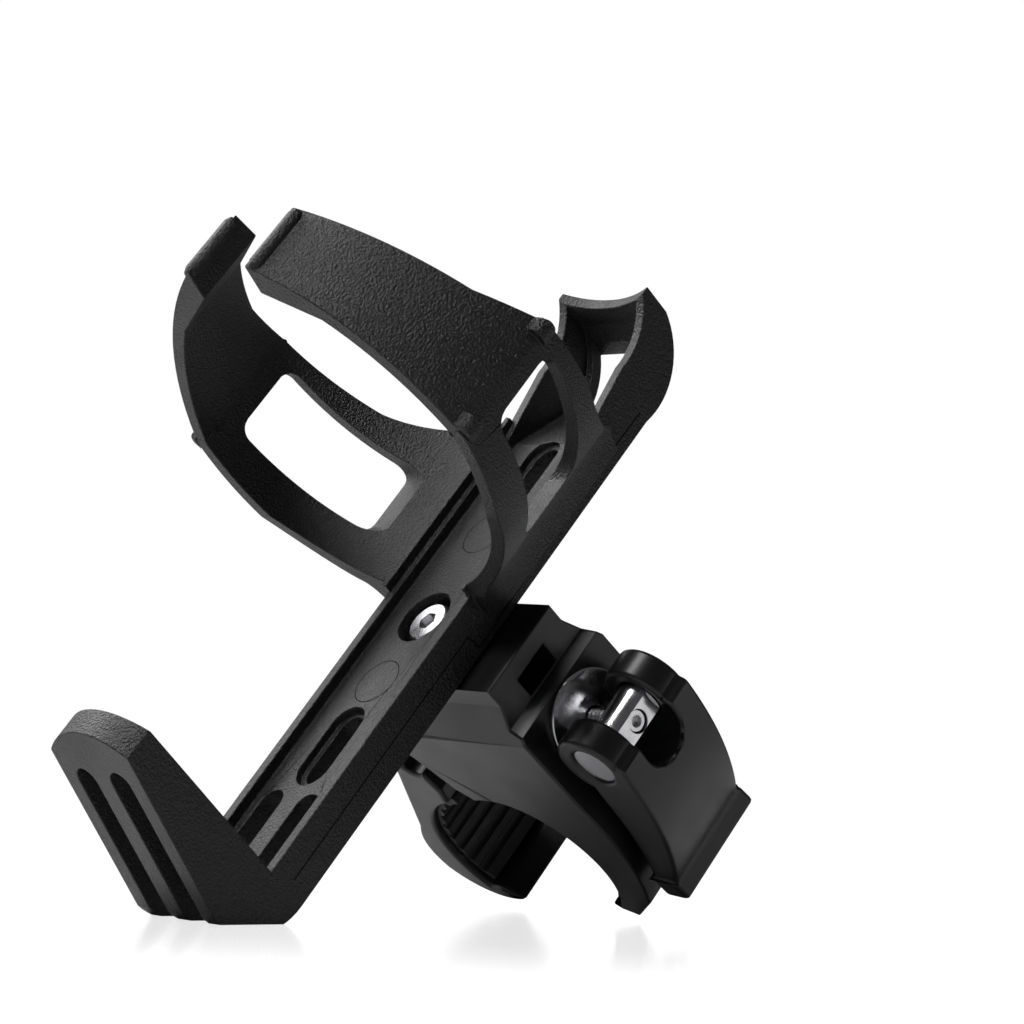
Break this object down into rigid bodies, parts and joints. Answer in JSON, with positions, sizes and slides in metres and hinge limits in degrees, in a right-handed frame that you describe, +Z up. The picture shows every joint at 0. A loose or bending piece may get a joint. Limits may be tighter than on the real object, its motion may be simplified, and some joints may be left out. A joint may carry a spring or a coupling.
{
  "type": "bottle cage",
  "caption": "Moulded bottle cage with wrap-around arms and a slotted foot, bolted to a hinged tube clamp that a cam lever draws shut.",
  "frame": {"origin": "centre of the tube bore of the closed clamp, at the middle of the jaw's width", "axes": "+Z up along the tube and along the bottle; +Y from the bottle towards the clamp; the cam lever is on the +X side"},
  "size_m": [0.0812, 0.1404, 0.142],
  "materials": {
    "frame_plastic": "fine grained black",
    "clamp_plastic": "smooth satin black",
    "lever_plastic": "smooth satin black",
    "pad_rubber": "dull black",
    "steel": "bright plated"
  },
  "bodies": {
    "clamp": {"clamp_body": "clamp_plastic", "upper_pad": "pad_rubber", "hinge_pin": "steel", "cam_washer": "steel", "cross_dowel": "steel", "cage_bolt": "steel", "cage_nut": "steel"},
    "cage": {"cage_frame": "frame_plastic"},
    "jaw": {"lower_jaw": "clamp_plastic", "lower_pad": "pad_rubber"},
    "draw": {"draw_screw": "steel", "barrel_nut": "steel"},
    "lever": {"lever": "lever_plastic"}
  },
  "joints": [
    {"name": "cage_swivel", "type": "hinge", "parent": "clamp", "child": "cage", "pos_m": [0.0035, -0.0488, 0], "axis": [0, 1, 0], "continuous": true},
    {"name": "jaw_hinge", "type": "hinge", "parent": "clamp", "child": "jaw", "pos_m": [-0.0143, -0.0373, 0], "axis": [0, 0, -1], "range_deg": [0, 17]},
    {"name": "screw_draw", "type": "slide", "parent": "clamp", "child": "draw", "axis": [0.9994, -0.0349, 0], "range_m": [0, 0.00341]},
    {"name": "lever_hinge", "type": "hinge", "parent": "clamp", "child": "lever", "pos_m": [0.0363, -0.0276, 0], "axis": [0, 0, -1], "range_deg": [0, 110]}
  ],
  "couplings": [
    {"joint": "screw_draw", "follows": "jaw_hinge", "m_per_rad": 0.011458}
  ]
}
